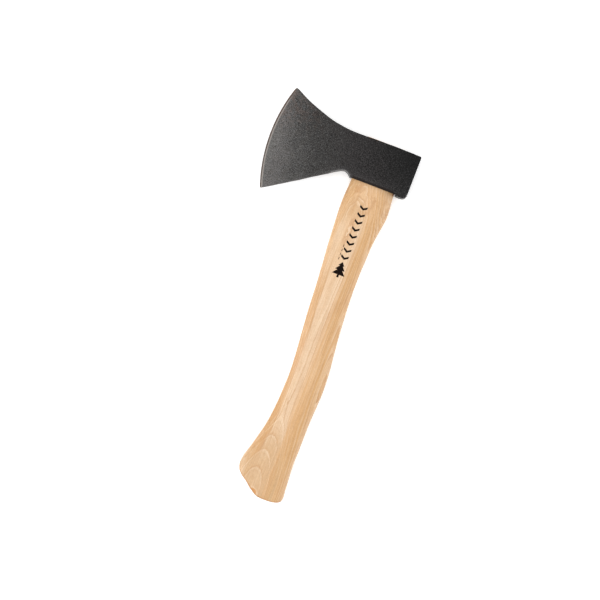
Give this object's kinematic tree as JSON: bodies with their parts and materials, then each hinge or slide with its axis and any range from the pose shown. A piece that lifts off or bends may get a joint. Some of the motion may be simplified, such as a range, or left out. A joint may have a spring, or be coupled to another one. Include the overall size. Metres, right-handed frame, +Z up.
{
  "type": "hatchet",
  "caption": "Hatchet with a forged, dark-coated head with a flared blade and flat poll, wedged on a pale hardwood haft with a swelled knob.",
  "frame": {"origin": "middle of the foot of the bounding box, on the plane the hatchet lies on", "axes": "+Y runs from the knob of the haft to the head, +X points out of the poll and -X out of the cutting edge, +Z is up through the thickness of the head"},
  "size_m": [0.1438, 0.3788, 0.025],
  "materials": {
    "head_coat": "matt dark grey textured coating over forged steel",
    "haft_wood": "clear satin lacquer on pale straight-grained hardwood",
    "wedge_wood": "sawn hardwood, end grain",
    "wedge_steel": "plain steel, driven flush"
  },
  "bodies": {
    "root": {"head": "head_coat", "haft": "haft_wood", "wood_wedge": "wedge_wood", "steel_wedge_front": "wedge_steel", "steel_wedge_rear": "wedge_steel"}
  },
  "joints": []
}
